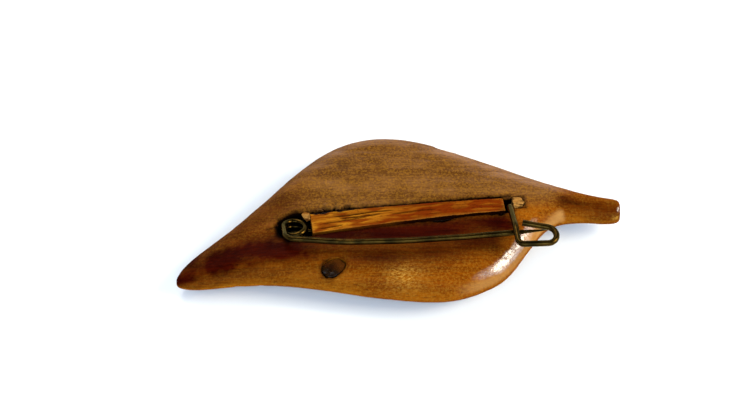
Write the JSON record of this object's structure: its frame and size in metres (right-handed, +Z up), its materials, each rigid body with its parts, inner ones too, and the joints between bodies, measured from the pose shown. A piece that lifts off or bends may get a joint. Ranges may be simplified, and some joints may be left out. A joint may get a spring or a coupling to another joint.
{
  "type": "brooch",
  "caption": "Carved wooden leaf brooch shown from its back, with a wire safety pin let into a groove under a glued softwood slip",
  "frame": {"origin": "Middle of the bounding box on the surface the brooch lies on, under the worn crown of its carved front", "axes": "+X from the leaf's tip to its stem; +Y across the leaf, away from the pin's arm; +Z up out of the back, where the pin is"},
  "size_m": [0.0738, 0.0342, 0.0109],
  "materials": {
    "carved_wood": "worn wax, satin",
    "dark_knot": "dull",
    "softwood": "dry, unpolished",
    "old_glue": "dull",
    "pin_wire": "tarnished, worn bright on top"
  },
  "bodies": {
    "leaf": {"leaf_body": "carved_wood", "knot": "dark_knot", "groove_slip": "softwood", "end_wedge": "softwood", "slip_splinter": "softwood", "adhesive_far": "old_glue", "adhesive_near": "old_glue", "pin_leg": "pin_wire", "pin_coil": "pin_wire", "pin_catch": "pin_wire"},
    "arm": {"pin_arm": "pin_wire"}
  },
  "joints": [
    {"name": "pin_swing", "type": "hinge", "parent": "leaf", "child": "arm", "pos_m": [-0.0175, -0.0046, 0.0093], "axis": [0, 0, -1], "range_deg": [0, 40], "deforming": ["pin_coil"]}
  ]
}
